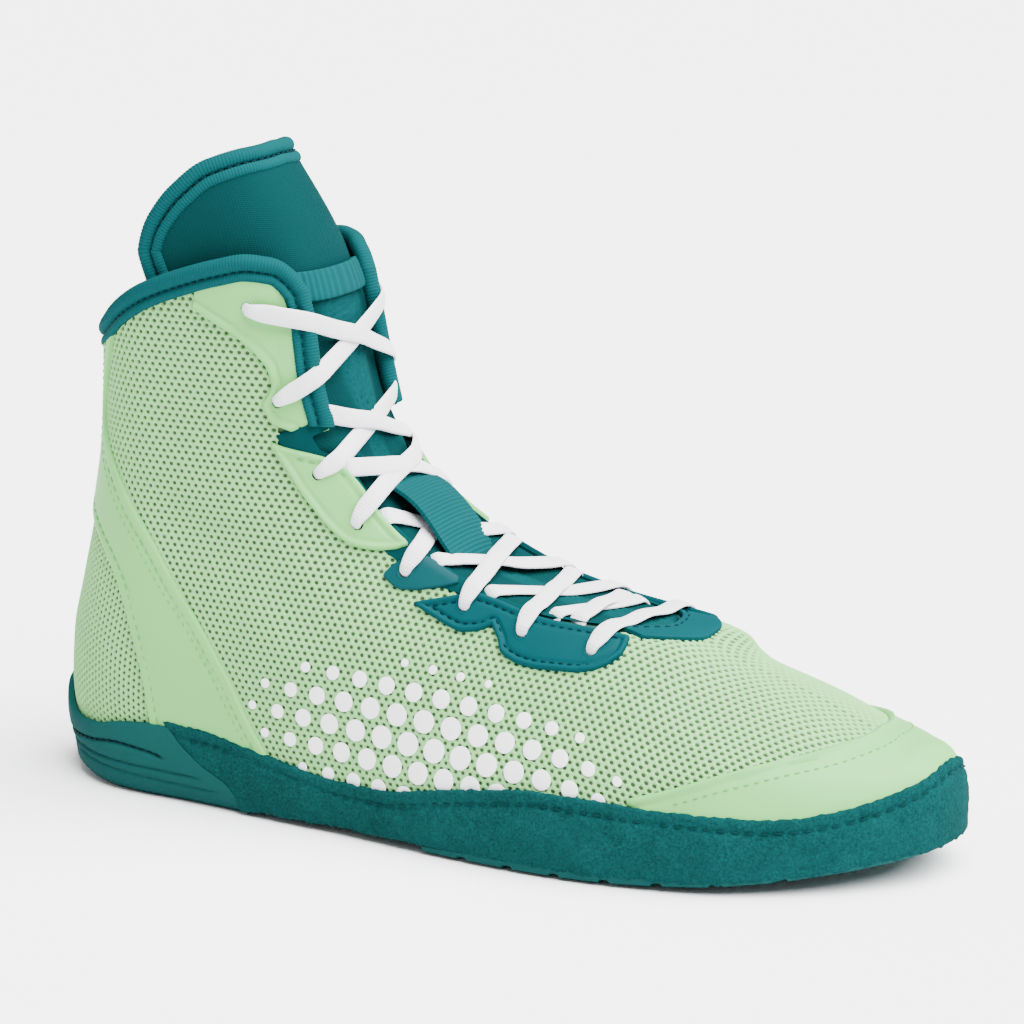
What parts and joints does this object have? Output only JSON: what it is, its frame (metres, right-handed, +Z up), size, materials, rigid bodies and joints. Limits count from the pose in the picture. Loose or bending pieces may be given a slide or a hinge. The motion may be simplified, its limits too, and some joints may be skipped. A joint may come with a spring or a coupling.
{
  "type": "boxing shoe",
  "caption": "Ankle-high laced boxing shoe for the right foot: mesh upper with synthetic overlays, suede rand, padded tongue, rubber heel cup and thin grooved rubber sole.",
  "frame": {"origin": "on the floor, at the middle of the bounding box in plan", "axes": "+X from heel to toe, +Y towards the inner side of the foot, +Z up; the sole stands on z = 0"},
  "size_m": [0.286, 0.0994, 0.1933],
  "materials": {
    "mesh": "open knit mesh",
    "suede": "napped suede",
    "rubber": "moulded, matt",
    "overlay": "smooth synthetic, satin",
    "eyestay": "smooth synthetic, satin",
    "tape": "ribbed woven tape",
    "tongue": "padded knit",
    "insole": "brushed cloth on foam",
    "lace": "flat woven lace"
  },
  "bodies": {
    "root": {"upper": "mesh", "rand_lateral": "suede", "rand_medial": "suede", "rand_toe": "suede", "arch_panel": "suede", "outsole_forefoot": "rubber", "outsole_heel": "rubber", "toe_cap": "overlay", "heel_band_lateral": "overlay", "heel_band_medial": "overlay", "eyestay_collar_lateral": "overlay", "eyestay_collar_medial": "overlay", "eyestay_mid_lateral": "overlay", "eyestay_mid_medial": "overlay", "eyestay_film_lateral": "eyestay", "eyestay_film_medial": "eyestay", "eyestay_lower_lateral": "eyestay", "eyestay_lower_medial": "eyestay", "throat_stay": "eyestay", "collar_binding": "tape", "tongue_binding": "tape", "lace_keeper": "tape", "tongue": "tongue", "insole": "insole", "lace_bar": "lace", "lace_cross_1": "lace", "lace_cross_2": "lace", "lace_cross_3": "lace", "lace_cross_4": "lace", "lace_cross_5": "lace", "lace_cross_6": "lace", "lace_cross_7": "lace"}
  },
  "joints": []
}
